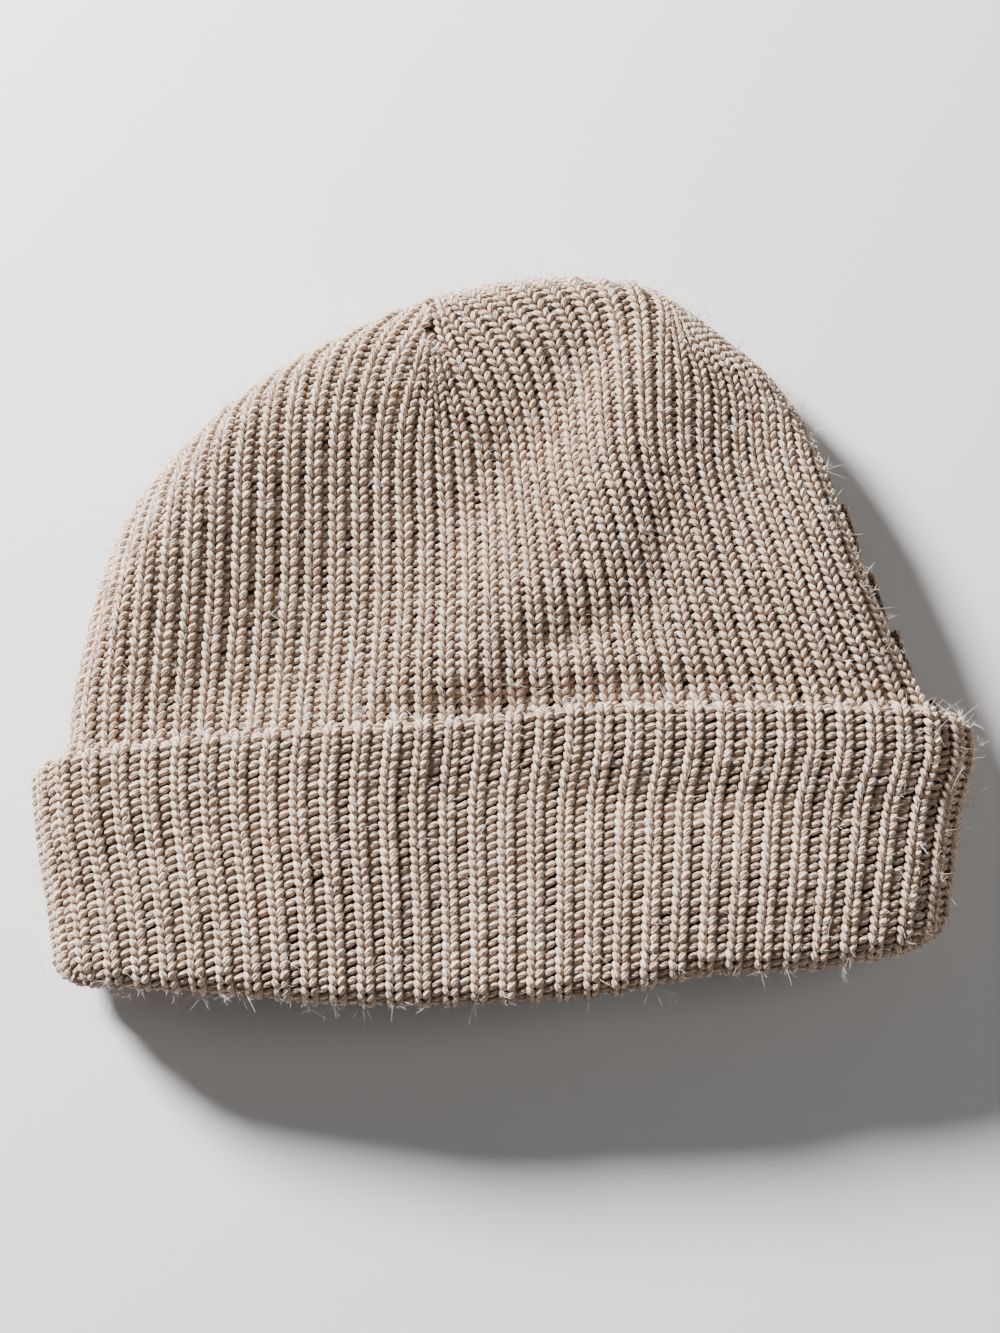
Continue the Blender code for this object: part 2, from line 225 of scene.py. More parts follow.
def rim_distance(x, y):
    x, y = np.broadcast_arrays(np.asarray(x, float), np.asarray(y, float))
    a, b = OUTLINE[:-1], OUTLINE[1:]
    run = b - a
    length = np.maximum((run**2).sum(1), 1e-12)
    point = np.stack((x.ravel(), y.ravel()), 1)
    best = np.full(len(point), 1e9)
    for start in range(0, len(point), 4000):
        some = point[start:start + 4000]
        gap = some[:, None] - a
        t = np.clip((gap * run).sum(2) / length, 0, 1)
        best[start:start + 4000] = ((gap - t[..., None] * run) ** 2).sum(2).min(1)
    near = np.sqrt(best).reshape(x.shape)
    inside = (x > crown_side(y, False)) & (x < crown_side(y, True)) & (y < TIP[1])
    return np.where(inside, near, -near)


def round_edge(distance, depth, radius):
    left = np.maximum(radius - depth, 0.01)
    t = np.clip((distance - depth) / left, 0.0, 1.0)
    return left * np.sqrt(np.maximum(1.0 - (1.0 - t) ** 2, 0.0))


def swell(distance, reach=DOME_REACH):
    t = np.clip(distance / reach, 0.0, 1.0)
    return 1.0 - (1.0 - t) ** 2


def cuff_heights(x, y, depth):
    side = np.minimum(x - cuff_side(y, False), cuff_side(y, True) - x)
    edge = round_edge(side, depth, CUFF_EDGE_RADIUS)
    relief = CUFF_DOME * swell(side) + folds(CUFF_FOLDS, x, y) * smoothstep(0, 16, side)
    return CUFF_EDGE_RADIUS + edge + relief, CUFF_EDGE_RADIUS - edge


def cuff_lift(x, y):
    reach = smoothstep(cuff_top(x) - 20.0, cuff_top(x), y)
    return curve(column(CUFF_LIFT, 0), column(CUFF_LIFT, 1), x) * reach


def crown_heights(x, y, depth):
    near = rim_distance(x, y)
    floor = NEST * (1 - smoothstep(LIFT_OFF[0], LIFT_OFF[1], y))
    free = smoothstep(cuff_top(x) - 2.0, cuff_top(x) + 16.0, y)
    held = 2 * CUFF_EDGE_RADIUS - NEST
    rim = held * (1 - free) + (CROWN_EDGE_TOP - CROWN_TIP_THIN * smoothstep(0, TIP[1], y)) * free
    radius, level = (rim - floor) / 2, (rim + floor) / 2
    edge = round_edge(near, depth, radius)
    inside = CUFF_DOME * swell(near + NEST) + folds(CUFF_FOLDS, x, y) * smoothstep(0, 16, near + NEST)
    outside = CROWN_DOME * swell(near, CROWN_REACH) + folds(CROWN_FOLDS, x, y) * smoothstep(1, 13, near)
    relief = inside * (1 - free) + outside * free
    tuck = folds(CROWN_FOLDS[-1:], x, y) * smoothstep(1, 15, near) * (1 - free)
    upper = level + edge + (relief + tuck) * smoothstep(-0.5, 3.0, near)
    lower = level - edge
    open_by = (LEAST_HOLLOW + 2 * (CROWN_WALL - depth)) * smoothstep(depth, depth + 6.0, near)
    return np.maximum(upper, lower + open_by), lower


# ---------------------------------------------------------------- columns of stitches
def unit(v):
    return v / np.maximum(np.linalg.norm(v, axis=-1, keepdims=True), 1e-9)


class Columns:
    """Lines up the knitting: point, direction along, direction across and normal, at fine even steps.

    at[rib, step] for each of them. good says where the line is on the hat. wide is half the way from
    the line before to the line after, the width that a rib and its furrow have there."""

    def __init__(self, points, good, step, closed=False, down=False):
        self.step, self.good, self.closed = step, good, closed
        self.point = points
        along = np.gradient(points, axis=1)
        if closed:
            across = np.roll(points, -1, 0) - np.roll(points, 1, 0)
            both = np.roll(good, -1, 0) & np.roll(good, 1, 0)
        else:
            ahead = np.concatenate((points[1:], points[-1:]))
            back = np.concatenate((points[:1], points[:-1]))
            across = ahead - back
            both = np.ones_like(good)
            has_next = np.concatenate((good[1:], good[-1:] & False))
            has_back = np.concatenate((good[:1] & False, good[:-1]))
            only_next, only_back = has_next & ~has_back, has_back & ~has_next
            across = np.where(only_next[..., None], 2 * (ahead - points), across)
            across = np.where(only_back[..., None], 2 * (points - back), across)
            # A rib whose neighbours have both ended, as up the middle of a dart, keeps its own width.
            alone = good & ~has_next & ~has_back
            across = np.where(alone[..., None], np.array([10.0, 0.0, 0.0]), across)
            both = has_next | has_back | alone
        self.along = unit(along)
        across = across - (across * self.along).sum(-1, keepdims=True) * self.along
        width = np.linalg.norm(across, axis=-1) / 2
        self.across = unit(across)
        self.normal = unit(np.cross(self.across, self.along)) * (-1 if down else 1)
        self.wide = width
        self.good = good & both

    def read(self, rib, where, field):
        """field at this distance along each line, in between steps."""
        position = np.clip(where / self.step, 0, field.shape[1] - 1.001)
        i = position.astype(int)
        t = position - i
        if field.ndim == 3:
            t = t[..., None]
        return field[rib, i] * (1 - t) + field[rib, i + 1] * t


def evenly(lines, good, step, most):
    """Each line of points read at even distances along it. Where it ends, it runs on straight from its last point."""
    out = np.zeros((len(lines), most, 3))
    fine = np.zeros((len(lines), most), bool)
    for n, (line, on) in enumerate(zip(lines, good)):
        line = line[on]
        if len(line) < 3:
            continue
        run = np.concatenate(([0.0], np.cumsum(np.linalg.norm(np.diff(line, axis=0), axis=1))))
        at = np.arange(most) * step
        for axis in range(3):
            out[n, :, axis] = np.interp(at, run, line[:, axis])
        fine[n] = at <= run[-1]
        last = int(fine[n].sum()) - 1
        if last < most - 1 and last > 0:
            # Past its end the line runs on straight, so directions stay true.
            way = unit(out[n, last] - out[n, last - 1])
            ahead = (np.arange(most) - last)[:, None] * step * way
            out[n, last:] = out[n, last] + ahead[last:]
    return out, fine


SECTION_Y = np.concatenate((np.arange(-46.0, 70.0, 1.5), TIP[1] - 0.01 - np.linspace(math.sqrt(25.0), 0.0, 46) ** 2))


def crown_sections():
    """Cross-sections of the body: x, upper z and lower z, for each y."""
    turn = (1 - np.cos(np.linspace(0, np.pi / 2, 13))) * 10.0
    rows = []
    for y in SECTION_Y:
        left, right = float(crown_side(y, False)), float(crown_side(y, True))
        edge = np.minimum(turn, 0.28 * (right - left) * turn / 10.0)
        middle = np.linspace(left + edge[-1], right - edge[-1], 75)
        rows.append(np.concatenate((left + edge[:-1], middle, right - edge[-2::-1])))
    x = np.array(rows)
    y = np.broadcast_to(SECTION_Y[:, None], x.shape)
    upper, lower = crown_heights(x, y, 0.0)
    middle = (upper[:, :1] + lower[:, :1]) / 2, (upper[:, -1:] + lower[:, -1:]) / 2
    for side, level in ((0, middle[0]), (-1, middle[1])):
        upper[:, side], lower[:, side] = level[:, 0], level[:, 0]
    return x, upper, lower


def round_from(x, z, spine):
    """Distance round each section from the place where it crosses the spine line."""
    run = np.concatenate((np.zeros((len(x), 1)), np.cumsum(np.hypot(np.diff(x, axis=1), np.diff(z, axis=1)), 1)), 1)
    zero = np.array([np.interp(spine, x[i], run[i]) for i in range(len(x))])
    return run - zero[:, None]


SECTION_X, SECTION_UP, SECTION_LOW = crown_sections()
ROUND_UP = round_from(SECTION_X, SECTION_UP, 4.0)
ROUND_LOW = round_from(SECTION_X, SECTION_LOW, 4.0)


def lean_at(x, y):
    rows = np.array([np.interp(x, LEAN_X, row) for _, row in LEAN])
    ys = np.array([row[0] for row in LEAN], float)
    i = np.clip(np.searchsorted(ys, y) - 1, 0, len(ys) - 2)
    t = np.clip((y - ys[i]) / (ys[i + 1] - ys[i]), 0, 1)
    return rows[i] * (1 - t) + rows[i + 1] * t


def trace_crown(upper):
    """Lines of the ribs over one wall of the body, from under the cuff to the outline."""
    around = ROUND_UP if upper else ROUND_LOW
    z = SECTION_UP if upper else SECTION_LOW
    start = -44.0
    ys = np.concatenate((np.arange(start, 80.0, 0.5), np.arange(80.0, TIP[1] - 0.1, 0.2)))
    first = int(np.searchsorted(SECTION_Y, start))
    count_left = int(-around[first, 0] / CROWN_RIB + 0.2)
    count_right = int(around[first, -1] / CROWN_RIB + 0.2)
    ids = np.arange(-count_left, count_right + 1)
    lines, on = [], []
    for rib in ids:
        u = (rib + 0.15) * CROWN_RIB
        points, good = [], []
        dead, came, right_of_second = False, 1, False
        for n, y in enumerate(ys):
            j = int(np.clip(np.searchsorted(SECTION_Y, y) - 1, 0, len(SECTION_Y) - 2))
            t = (y - SECTION_Y[j]) / (SECTION_Y[j + 1] - SECTION_Y[j])
            arc = around[j] * (1 - t) + around[j + 1] * t
            xs = SECTION_X[j] * (1 - t) + SECTION_X[j + 1] * t
            zs = z[j] * (1 - t) + z[j + 1] * t
            x = float(np.interp(u, arc, xs))
            height = float(np.interp(u, arc, zs))
            if u < arc[0] or u > arc[-1]:
                dead = True
            lean = float(lean_at(x, y)) if upper else -0.35 * float(lean_at(-x * 0.8, y))
            if upper and DART_FOOT < y < DART_HEAD and abs(x - DART_X) < 1.5 and came != 0:
                dead = True
            second = DART2_FOOT[0] + DART2_LEAN * (y - DART2_FOOT[1])
            if upper and y > DART2_FOOT[1] and right_of_second and x < second + 0.8:
                dead = True
            if y < DART_FOOT:
                came = 0 if abs(x - DART_X) < 3.0 else 1
            if y < DART2_FOOT[1]:
                right_of_second = x > second
            points.append((x, y, height))
            good.append(not dead)
            if n + 1 < len(ys):
                u += math.tan(math.radians(lean)) * (ys[n + 1] - y)
        lines.append(np.array(points))
        on.append(np.array(good))
    return lines, on


def cuff_surface(position, length):
    """Points of the cuff's skin for a place round the ring (0 to 1) and a way along its section.

    length 0 is the crest of the top edge, and grows down the outside, round the bottom fold and into
    the mouth. Below 0 it goes behind the top edge."""
    half = CUFF_WALL / 2
    position, length = np.broadcast_arrays(np.asarray(position, float), np.asarray(length, float))
    radius = CUFF_EDGE_RADIUS
    # The ring: upper wall left to right, right edge, lower wall right to left, left edge.
    flat = 231.0 - 2 * radius
    arc = math.pi * radius
    whole = 2 * flat + 2 * arc
    s = (position % 1.0) * whole
    on_top = s < flat
    on_right = (s >= flat) & (s < flat + arc)
    on_low = (s >= flat + arc) & (s < 2 * flat + arc)
    across = np.where(on_top, s / flat, np.where(on_right, 1.0, np.where(on_low, 1 - (s - flat - arc) / flat, 0.0)))
    angle = np.where(on_right, (s - flat) / radius, np.where(on_low | on_top, 0.0, np.pi - (s - 2 * flat - arc) / radius))
    angle = np.where(on_low, np.pi, angle)            # 0 on the upper wall, pi on the lower one
    lean = (1 - np.cos(angle)) / 2
    # The section: behind the top edge, over its crest, down, round the fold, inside.
    x = np.where(across <= 0, -112.0, np.where(across >= 1, 113.0, -100.0 + across * 200.0))
    for _ in range(3):
        top, bottom = cuff_top(x), cuff_bottom(x) + LIP_SETBACK * lean
        quarter = half * math.pi / 2
        face = (top - half) - (bottom + ROLL)
        over = np.clip(length / half, -math.pi / 2, math.pi / 2)     # angle over the crest
        down = np.clip(length - quarter, 0.0, face)
        turned = np.clip((length - quarter - face) / ROLL, 0.0, math.pi)
        behind = np.maximum(-quarter - length, 0.0)
        inside = np.maximum(length - quarter - face - ROLL * math.pi, 0.0)
        depth = (half - half * np.sin(over)) + ROLL - ROLL * np.cos(turned)
        y = top - half + half * np.cos(over) - down - ROLL * np.sin(turned) - behind + inside
        left, right = cuff_side(y, False), cuff_side(y, True)
        inner = left + radius
        outer = right - radius
        curl = (radius - depth) * np.sin(angle)
        x = inner + across * (outer - inner) + np.where(across >= 1, curl, 0) - np.where(across <= 0, curl, 0)
    side = np.minimum(x - left, right - x)
    relief = CUFF_DOME * swell(side) + folds(CUFF_FOLDS, x, y) * smoothstep(0, 16, side)
    relief = relief + cuff_lift(x, np.minimum(y, cuff_top(x))) * (length < 40)
    raised = smoothstep(-0.05, 0.35, np.cos(angle))
    z = radius + (radius - depth) * np.cos(angle) + relief * raised
    return np.stack((x, y, z), -1)


# ---------------------------------------------------------------- yarn
class Yarn:
    """Many short tapered strands of yarn gathered into one mesh."""

    def __init__(self, sides):
        self.sides, self.parts = sides, []

    def add(self, centre, normal, wide, high, tone, lift):
        """centre[n, m, 3], normal[n, m, 3], wide[n, m], high[n, m] half sizes, tone[n], lift[n, m] off the skin."""
        self.parts.append((centre, normal, wide, high, tone, lift))

    def build(self, name, material):
        points, uvs, tones, shade_depths, faces = [], [], [], [], []
        base = 0
        k = self.sides
        turn = np.arange(k) / k * 2 * np.pi
        for centre, normal, wide, high, tone, lift in self.parts:
            n, m = centre.shape[:2]
            along = unit(np.gradient(centre, axis=1))
            up = unit(normal - (normal * along).sum(-1, keepdims=True) * along)
            side = np.cross(along, up)
            ring = (centre[:, :, None] + (wide[..., None] * np.cos(turn))[..., None] * side[:, :, None]
                    + (high[..., None] * np.sin(turn))[..., None] * up[:, :, None])
            points.append(ring.reshape(-1, 3))
            run = np.concatenate((np.zeros((n, 1)), np.cumsum(np.linalg.norm(np.diff(centre, axis=1), axis=2), 1)), 1)
            run = run + tone[:, None] * 37.0
            grid = np.arange(n * m * k).reshape(n, m, k) + base
            a, b = grid[:, :-1], grid[:, 1:]
            quads = np.stack((a, np.roll(a, -1, 2), np.roll(b, -1, 2), b), -1).reshape(-1, 4)
            corner_v = np.stack((run[:, :-1], run[:, :-1], run[:, 1:], run[:, 1:]), -1)
            corner_v = np.broadcast_to(corner_v[:, :, None, :], (n, m - 1, k, 4)).reshape(-1, 4)
            u0 = np.arange(k) / k
            corner_u = np.broadcast_to(np.stack((u0, u0 + 1 / k, u0 + 1 / k, u0), -1), (n, m - 1, k, 4)).reshape(-1, 4)
            faces.append(quads)
            uvs.append(np.stack((corner_u, corner_v * 0.1), -1).reshape(-1, 2))
            tones.append(np.repeat(tone, m * k))
            shade_depths.append((lift[..., None] + high[..., None] * np.sin(turn)).ravel())
            base += n * m * k
        points = (np.concatenate(points) - (CENTRE[0], CENTRE[1], 0.0)) * MM
        points[:, 2] = np.maximum(points[:, 2], 0.0002)
        faces, uvs, tones = np.concatenate(faces), np.concatenate(uvs), np.concatenate(tones)
        mesh = mesh_from(name, points, faces)
        layer = mesh.uv_layers.new(name="yarn")
        layer.data.foreach_set("uv", uvs.astype(np.float32).ravel())
        attribute = mesh.attributes.new("tone", "FLOAT", "POINT")
        attribute.data.foreach_set("value", tones.astype(np.float32))
        # Each point's height off the skin, which the wool turns into painted shade where low and painted highlight
        # where high.
        depth = mesh.attributes.new("depth", "FLOAT", "POINT")
        depth.data.foreach_set("value", np.concatenate(shade_depths).astype(np.float32))
        obj = bpy.data.objects.new(name, mesh)
        bpy.context.scene.collection.objects.link(obj)
        mesh.materials.append(material)
        return obj


def mesh_from(name, points, quads):
    mesh = bpy.data.meshes.new(name)
    mesh.vertices.add(len(points))
    mesh.vertices.foreach_set("co", points.astype(np.float32).ravel())
    size = quads.shape[1]
    mesh.loops.add(quads.size)
    mesh.loops.foreach_set("vertex_index", quads.astype(np.int32).ravel())
    mesh.polygons.add(len(quads))
    mesh.polygons.foreach_set("loop_start", (np.arange(len(quads)) * size).astype(np.int32))
    mesh.polygons.foreach_set("use_smooth", np.ones(len(quads), bool))
    mesh.update(calc_edges=True)
    return mesh


def knit_legs(yarn, columns, rib, row_at, row, side, detail, full=1.0, spread=1.90, reach=1.06):
    """One leg of each V: its foot by the middle of the rib, up and outwards over the back of the hat's
    skin like a grain of wheat, and down again where the next stitch comes out in front of it."""
    t = np.linspace(0, 1, detail)[None]
    n = len(rib)
    jitter = rng.normal(0, 1, (n, 6))
    up = (-0.02 + t * (reach + 0.04 * jitter[:, :1])) * row
    where = row_at[:, None] + up
    rib2 = np.broadcast_to(rib[:, None], where.shape)
    point = columns.read(rib2, where, columns.point)
    normal = unit(columns.read(rib2, where, columns.normal))
    across = unit(columns.read(rib2, where, columns.across))
    wide = np.clip(columns.read(rib2, where, columns.wide), 3.4, 9.0)
    room = np.sqrt(wide / CROWN_RIB)
    head = (spread + 0.09 * jitter[:, 1:2]) * room * full
    out = 0.26 + (head - 0.26) * t ** 0.9
    bell = np.sin(np.pi * t ** 0.85) ** 0.9
    lift = full * (1.25 * bell - 0.80 + 0.08 * jitter[:, 2:3])
    centre = point + across * (side * out)[..., None] + normal * lift[..., None]
    taper = 0.52 + 0.48 * np.sin(np.pi * (0.06 + 0.88 * t)) ** 0.7
    thick = full * taper * (1 + 0.06 * jitter[:, 3:4])
    tilt = unit(normal + across * (side * 0.25 * t)[..., None])
    yarn.add(centre, tilt, 0.88 * thick * np.clip(room, 0.8, 1.06), 0.86 * thick, rng.random(n), lift)


def purl_bumps(yarn, columns, rib, row_at, row, slant, detail, closed, full=1.0, reach=0.36, deep=1.00):
    """The strand across each furrow: a short oval bump that rises a little to one side."""
    t = np.linspace(0, 1, detail)[None]
    n = len(rib)
    jitter = rng.normal(0, 1, (n, 4))
    along = (0.5 + (t - 0.5) * slant) * row + 0.05 * row * jitter[:, :1]
    where = row_at[:, None] + along
    count = len(columns.point)
    here = np.broadcast_to(rib[:, None], where.shape)
    there = (here + 1) % count if closed else np.minimum(here + 1, count - 1)
    p0, p1 = columns.read(here, where, columns.point), columns.read(there, where, columns.point)
    n0, n1 = columns.read(here, where, columns.normal), columns.read(there, where, columns.normal)
    gap = np.linalg.norm(p1 - p0, axis=-1)
    mix = (0.5 + (t - 0.5) * reach)[..., None]
    point = p0 * (1 - mix) + p1 * mix
    normal = unit(n0 * (1 - mix) + n1 * mix)
    lift = full * (0.75 * np.sin(np.pi * t) ** 0.8 - deep + 0.08 * jitter[:, 1:2])
    # On a round edge the middle of the chord between two lines lies inside the skin.
    bow = gap * np.clip(np.linalg.norm(n1 - n0, axis=-1), 0, 1) / 8
    centre = point + normal * (lift + bow)[..., None]
    half = full * 0.80 * (0.5 + 0.5 * np.sin(np.pi * t) ** 0.7) * (1 + 0.08 * jitter[:, 2:3])
    yarn.add(centre, normal, half, half, rng.random(n), lift)


def stitches(columns, row, first, last):
    """(rib, distance along) of each stitch whose place is on the hat."""
    rows = np.arange(first, last) * row
    rib, at = np.meshgrid(np.arange(len(columns.point)), rows, indexing="ij")
    rib, at = rib.ravel(), at.ravel()
    i = np.clip((at / columns.step).astype(int), 0, columns.good.shape[1] - 1)
    keep = columns.good[rib, i] & (columns.wide[rib, i] > 1.1) & (columns.wide[rib, i] < 11)
    return rib[keep], at[keep]


# ---------------------------------------------------------------- materials
def new_material(name):
    material = bpy.data.materials.new(name)
    material.use_nodes = True
    tree = material.node_tree
    shader = tree.nodes["Principled BSDF"]
    return material, tree, shader


def node(tree, kind, **inputs):
    made = tree.nodes.new(kind)
    for key, value in inputs.items():
        if key in made.inputs:
            made.inputs[key].default_value = value
        else:
            setattr(made, key, value)
    return made


def math_node(tree, operation, first, second=None):
    made = tree.nodes.new("ShaderNodeMath")
    made.operation = operation
    for i, value in enumerate((first, second)):
        if value is None:
            continue
        if isinstance(value, (int, float)):
            made.inputs[i].default_value = value
        else:
            tree.links.new(value, made.inputs[i])
    return made.outputs[0]


def mix_colour(tree, kind, factor, first, second):
    made = tree.nodes.new("ShaderNodeMix")
    made.data_type = "RGBA"
    made.blend_type = kind
    for i, value in ((0, factor), (6, first), (7, second)):
        if isinstance(value, (int, float)):
            made.inputs[i].default_value = value
        elif isinstance(value, tuple):
            made.inputs[i].default_value = value
        else:
            tree.links.new(value, made.inputs[i])
    return made.outputs[2]


def ramp(tree, source, stops):
    made = tree.nodes.new("ShaderNodeValToRGB")
    elements = made.color_ramp.elements
    while len(elements) > 1:
        elements.remove(elements[-1])
    elements[0].position, elements[0].color = stops[0]
    for position, colour in stops[1:]:
        element = elements.new(position)
        element.color = colour
    tree.links.new(source, made.inputs[0])
    return made.outputs[0]


def wool(name, strand=True, painted_shade=1.0, rib_pitch=0.0):
    """Heathered oatmeal wool: yarn tone by strand, pinkish and grey patches, ply twist and fuzz in the bump. The
    yarn's colour has painted shade in the ply grooves and where it sinks under the skin, and painted highlight where
    it stands out; a shade factor below 1 paints the ground's colour darker, as shade between the stitches.
    """
    material, tree, shader = new_material(name)
    links = tree.links
    coordinates = tree.nodes.new("ShaderNodeTexCoord")
    place = coordinates.outputs["Object"]

    def noise(scale, detail=3.0, rough=0.6, distortion=0.0):
        made = node(tree, "ShaderNodeTexNoise", Scale=scale, Detail=detail, Roughness=rough, Distortion=distortion)
        links.new(place, made.inputs["Vector"])
        return made.outputs["Fac"]

    # The factor is painted shade: 1 for the yarn, below 1 to paint the ground darker.
    def shade(r, g, b):
        return (r * painted_shade, g * painted_shade, b * painted_shade, 1.0)

    if strand:
        tone = node(tree, "ShaderNodeAttribute", attribute_name="tone").outputs["Fac"]
    else:
        tone = noise(900.0, 2.0)
    body = ramp(tree, tone, ((0.0, shade(0.490, 0.356, 0.262)), (0.35, shade(0.585, 0.440, 0.332)),
                             (0.7, shade(0.650, 0.506, 0.392)), (1.0, shade(0.730, 0.588, 0.472))))
    patch = ramp(tree, noise(26.0, 4.0, 0.55), ((0.36, (0.88, 0.86, 0.86, 1)), (0.52, (1, 1, 1, 1)), (0.68, (1.0, 0.955, 0.935, 1))))
    colour = mix_colour(tree, "MULTIPLY", 0.8, body, patch)
    fleck = ramp(tree, noise(2600.0, 2.0, 0.7), ((0.30, (0.66, 0.60, 0.56, 1)), (0.45, (0.97, 0.96, 0.95, 1)), (0.62, (1.0, 1.0, 1.0, 1)), (0.74, (1.16, 1.15, 1.14, 1))))
    colour = mix_colour(tree, "MULTIPLY", 0.75, colour, fleck)
    if strand:
        uv = node(tree, "ShaderNodeUVMap", uv_map="yarn").outputs[0]
        split = tree.nodes.new("ShaderNodeSeparateXYZ")
        links.new(uv, split.inputs[0])
        around = math_node(tree, "MULTIPLY", split.outputs[0], 2 * math.pi * 5)
        along = math_node(tree, "MULTIPLY", split.outputs[1], 10 * 2 * math.pi / 2.6)
        wobble = math_node(tree, "MULTIPLY", noise(900.0, 2.0), 5.0)
        phase = math_node(tree, "ADD", math_node(tree, "ADD", around, along), wobble)
        twist = math_node(tree, "SINE", phase)
        twist01 = math_node(tree, "MULTIPLY_ADD", twist, 0.5)
        tree.nodes[-1].inputs[2].default_value = 0.5
        # Painted shade in the grooves between the plies and a faint painted highlight on their crests, following the
        # twist of the bump.
        ply_groove_shade = ramp(tree, twist01, ((0.0, (0.60, 0.55, 0.52, 1)), (0.28, (0.95, 0.94, 0.93, 1)), (1.0, (1.04, 1.04, 1.04, 1))))
        colour = mix_colour(tree, "MULTIPLY", 0.85, colour, ply_groove_shade)
        # Painted shade where the yarn dives under the skin and painted highlight where it stands out, from each
        # point's height off the skin.
        depth = node(tree, "ShaderNodeAttribute", attribute_name="depth").outputs["Fac"]
        level = math_node(tree, "MULTIPLY_ADD", depth, 0.25)
        tree.nodes[-1].inputs[2].default_value = 0.5
        sunk_shade_and_highlight = ramp(tree, level, ((0.10, (0.58, 0.54, 0.51, 1)), (0.34, (0.80, 0.78, 0.76, 1)),
                                  (0.56, (0.99, 0.985, 0.98, 1)), (0.76, (1.06, 1.06, 1.06, 1))))
        colour = mix_colour(tree, "MULTIPLY", 1.0, colour, sunk_shade_and_highlight)
        height = twist01
        strength, distance = 0.9, 0.00030
    else:
        height = noise(520.0, 3.0, 0.7)
        strength, distance = 0.8, 0.0008
    if rib_pitch:
        split = tree.nodes.new("ShaderNodeSeparateXYZ")
        links.new(place, split.inputs[0])
        wave = math_node(tree, "SINE", math_node(tree, "MULTIPLY", split.outputs[0], 2 * math.pi / rib_pitch))
        rows = math_node(tree, "SINE", math_node(tree, "MULTIPLY", split.outputs[1], 2 * math.pi / 0.0023))
        both = math_node(tree, "ADD", wave, math_node(tree, "MULTIPLY", rows, 0.4))
        height = math_node(tree, "ADD", both, height)
        strength, distance = 0.9, 0.0007
    bump = node(tree, "ShaderNodeBump", Strength=strength, Distance=distance)
    links.new(height, bump.inputs["Height"])
    fibre = node(tree, "ShaderNodeBump", Strength=0.6, Distance=0.00018)
    links.new(noise(3600.0, 2.0, 0.8, 0.8), fibre.inputs["Height"])
    links.new(bump.outputs[0], fibre.inputs["Normal"])
    links.new(fibre.outputs[0], shader.inputs["Normal"])
    links.new(colour, shader.inputs["Base Color"])
    rough = ramp(tree, noise(1200.0, 2.0), ((0.3, (0.86, 0.86, 0.86, 1)), (0.7, (0.98, 0.98, 0.98, 1))))
    links.new(rough, shader.inputs["Roughness"])
    shader.inputs["Specular IOR Level"].default_value = 0.18
    shader.inputs["Sheen Weight"].default_value = 0.35
    shader.inputs["Sheen Roughness"].default_value = 0.45
    shader.inputs["Sheen Tint"].default_value = (0.95, 0.90, 0.86, 1.0)
    return material


# ---------------------------------------------------------------- fuzz
PILL_FIBRES = 70
#         across, up as seen
PILLS = ((15.4, 92.6),
         (28.8, 91.0),
         (35.5, 90.0),
         (84.8, 43.8),
         (99.0, 6.4))


def fuzz(name, points, normals, count, length, width, material, stand=0.5, seed=5, pills=()):
    """Loose fibres: thin bent strips that leave the wool at a low angle, more of them along the outline.

    A pill is a small knot of short ones. Its place is given as seen from the front and above."""
    r = np.random.default_rng(seed)
    weight = 1.0 + 2.5 * (np.abs(normals[:, 2]) < 0.5)
    pick = r.choice(len(points), count, p=weight / weight.sum())
    start, up = points[pick], normals[pick]
    scale = np.ones((count, 1))
    seen = np.stack((points[:, 0], points[:, 1] * math.sin(ELEVATION) + points[:, 2] * math.cos(ELEVATION)), 1)
    for place in pills:
        near = int(np.argmin(np.linalg.norm(seen - place, axis=1)))
        knot = points[near] + normals[near] * 1.3 + r.normal(0, 0.40, (PILL_FIBRES, 3))
        start = np.concatenate((start, knot))
        up = np.concatenate((up, np.repeat(normals[near][None], PILL_FIBRES, 0)))
        scale = np.concatenate((scale, np.full((PILL_FIBRES, 1), 0.42)))
    count = len(start)
    random = unit(r.normal(0, 1, (count, 3)))
    way = unit(random + up * (stand + 0.35 * r.random((count, 1))))
    bend = unit(r.normal(0, 1, (count, 3)))
    size = length * scale * (0.35 + r.random((count, 1)) ** 2 * 1.3)
    steps = np.array([0.0, 0.4, 0.75, 1.0])
    line = (start[:, None] + way[:, None] * (size * steps)[..., None]
            + bend[:, None] * (size * 0.35 * steps**2)[..., None])
    side = unit(np.cross(way, bend))
    half = width * np.array([0.5, 0.45, 0.32, 0.12]) * (0.7 + 0.6 * r.random((count, 1)))
    left, right = line - side[:, None] * half[..., None], line + side[:, None] * half[..., None]
    both = np.stack((left, right), 2).reshape(-1, 3)
    base = (np.arange(count) * 8)[:, None, None]
    k = np.arange(3)[None, :, None] * 2
    quads = (base + k + np.array([0, 1, 3, 2])).reshape(-1, 4)
    both = (both - (CENTRE[0], CENTRE[1], 0.0)) * MM
    both[:, 2] = np.maximum(both[:, 2], 0.0003)
    mesh = mesh_from(name, both, quads)
    mesh.materials.append(material)
    tones = mesh.attributes.new("tone", "FLOAT", "POINT")
    tones.data.foreach_set("value", np.repeat(r.random(count), 8).astype(np.float32))
    obj = bpy.data.objects.new(name, mesh)
    bpy.context.scene.collection.objects.link(obj)
    return obj


def fibre_material():
    material, tree, shader = new_material("loose_fibre")
    tone = node(tree, "ShaderNodeAttribute", attribute_name="tone").outputs["Fac"]
    colour = ramp(tree, tone, ((0.0, (0.62, 0.52, 0.44, 1)), (0.6, (0.78, 0.70, 0.63, 1)), (1.0, (0.92, 0.88, 0.84, 1))))
    tree.links.new(colour, shader.inputs["Base Color"])
    shader.inputs["Roughness"].default_value = 0.8
    shader.inputs["Specular IOR Level"].default_value = 0.2
    shader.inputs["Sheen Weight"].default_value = 0.4
    return material


